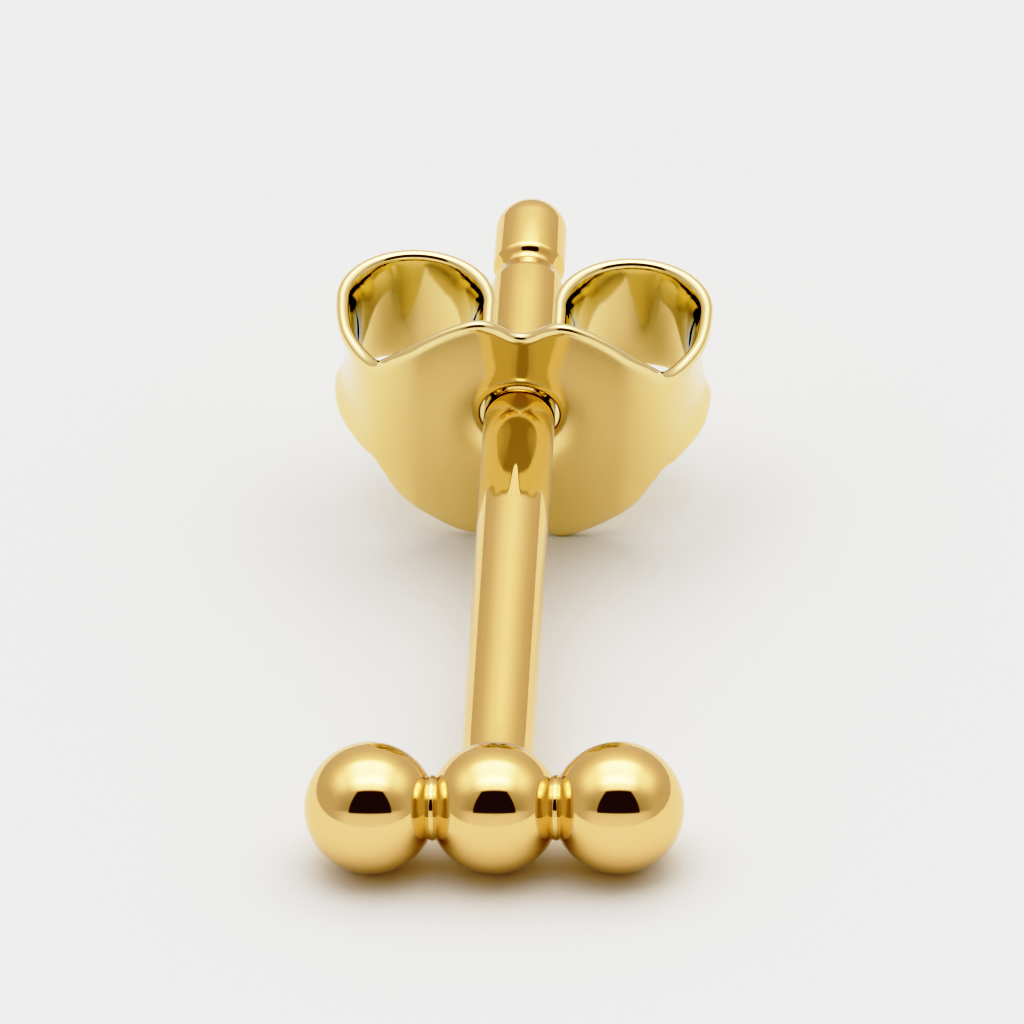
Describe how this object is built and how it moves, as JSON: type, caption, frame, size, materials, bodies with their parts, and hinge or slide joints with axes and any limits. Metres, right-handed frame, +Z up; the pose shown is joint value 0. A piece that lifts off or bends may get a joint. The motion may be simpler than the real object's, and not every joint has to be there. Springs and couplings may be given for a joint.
{
  "type": "stud earring",
  "caption": "Stud earring with a bar of joined round beads on a straight grooved post, held by a rolled butterfly back that slides on the post.",
  "frame": {"origin": "middle of the footprint, on the surface that the earring lies on", "axes": "+Z up; +Y along the post's level direction, from the beads to the post's tip; +X along the bar of beads"},
  "size_m": [0.0048, 0.0118, 0.0036],
  "materials": {
    "gold_stud": "gold-plated sterling silver, mirror polished",
    "gold_back": "gold-plated sterling silver sheet, tumble polished"
  },
  "bodies": {
    "stud": {"ear_stud": "gold_stud"},
    "back": {"butterfly_back": "gold_back"}
  },
  "joints": [
    {"name": "back_slide", "type": "slide", "parent": "stud", "child": "back", "axis": [0, 0.9898, 0.1424], "range_m": [-0.006, 0.004]}
  ]
}
